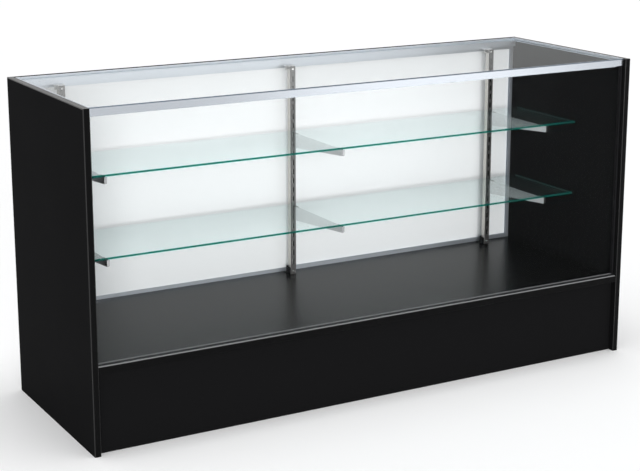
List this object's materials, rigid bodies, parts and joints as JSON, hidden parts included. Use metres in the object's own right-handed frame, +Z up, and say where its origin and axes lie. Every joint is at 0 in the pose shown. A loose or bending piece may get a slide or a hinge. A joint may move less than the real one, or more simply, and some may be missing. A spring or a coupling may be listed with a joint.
{
  "type": "full vision display case",
  "caption": "Long retail display counter with a glass front and top, glass shelves on slotted standards, a closed black base and sliding doors at the back.",
  "frame": {"origin": "on the floor under the middle of the case", "axes": "+X along the case to the customer's right, +Y from the customer's side to the sliding doors, +Z up"},
  "size_m": [1.8288, 0.6096, 0.9652],
  "materials": {
    "black_board": "board faced with satin black melamine",
    "black_edge_band": "satin black plastic edge band",
    "dowel_wood": "bare hardwood",
    "zinc_fittings": "zinc plated",
    "black_fittings": "black moulded plastic",
    "clear_glass": "clear tempered glass with polished edges",
    "grey_vinyl": "satin grey vinyl",
    "black_vinyl": "satin black vinyl",
    "clear_vinyl": "clear vinyl",
    "satin_aluminium": "satin clear anodised",
    "screw_steel": "bright zinc plated",
    "nickel_steel": "satin nickel plated",
    "pad_rubber": "matt",
    "white_door_board": "hardboard with satin white facing",
    "glide_nylon": "nylon",
    "pull_metal": "satin plated"
  },
  "bodies": {
    "case": {"left_end_panel": "black_board", "right_end_panel": "black_board", "left_edge_band": "black_edge_band", "right_edge_band": "black_edge_band", "deck": "black_board", "deck_edge_band": "black_edge_band", "kick_panel": "black_board", "rear_base_panel": "black_board", "base_divider": "black_board", "rear_header": "black_board", "wood_dowels": "dowel_wood", "cam_locks": "zinc_fittings", "cam_bolts": "zinc_fittings", "front_glass": "clear_glass", "front_glass_sill": "grey_vinyl", "front_glass_wedge": "black_vinyl", "left_glass_seal": "black_vinyl", "right_glass_seal": "black_vinyl", "front_top_rail": "satin_aluminium", "rear_top_rail": "satin_aluminium", "left_top_rail": "satin_aluminium", "right_top_rail": "satin_aluminium", "top_rail_screws": "screw_steel", "top_glass_gasket": "clear_vinyl", "top_glass": "clear_glass", "upper_door_track": "satin_aluminium", "lower_door_track": "satin_aluminium", "left_jamb": "satin_aluminium", "right_jamb": "satin_aluminium", "track_screws": "screw_steel", "left_standard": "nickel_steel", "middle_standard": "nickel_steel", "right_standard": "nickel_steel", "standard_head_clips": "zinc_fittings", "standard_foot_clips": "black_fittings", "standard_screws": "screw_steel", "foot_clip_screws": "screw_steel", "upper_left_bracket": "nickel_steel", "upper_middle_bracket": "nickel_steel", "upper_right_bracket": "nickel_steel", "lower_left_bracket": "nickel_steel", "lower_middle_bracket": "nickel_steel", "lower_right_bracket": "nickel_steel", "upper_shelf_pads": "pad_rubber", "lower_shelf_pads": "pad_rubber", "upper_shelf": "clear_glass", "lower_shelf": "clear_glass"},
    "left_door": {"left_door": "white_door_board", "left_door_glides": "glide_nylon", "left_door_pull": "pull_metal"},
    "right_door": {"right_door": "white_door_board", "right_door_glides": "glide_nylon", "right_door_pull": "pull_metal"}
  },
  "joints": [
    {"name": "left_door_slide", "type": "slide", "parent": "case", "child": "left_door", "axis": [1, 0, 0], "range_m": [0, 0.877]},
    {"name": "right_door_slide", "type": "slide", "parent": "case", "child": "right_door", "axis": [1, 0, 0], "range_m": [-0.877, 0]}
  ]
}
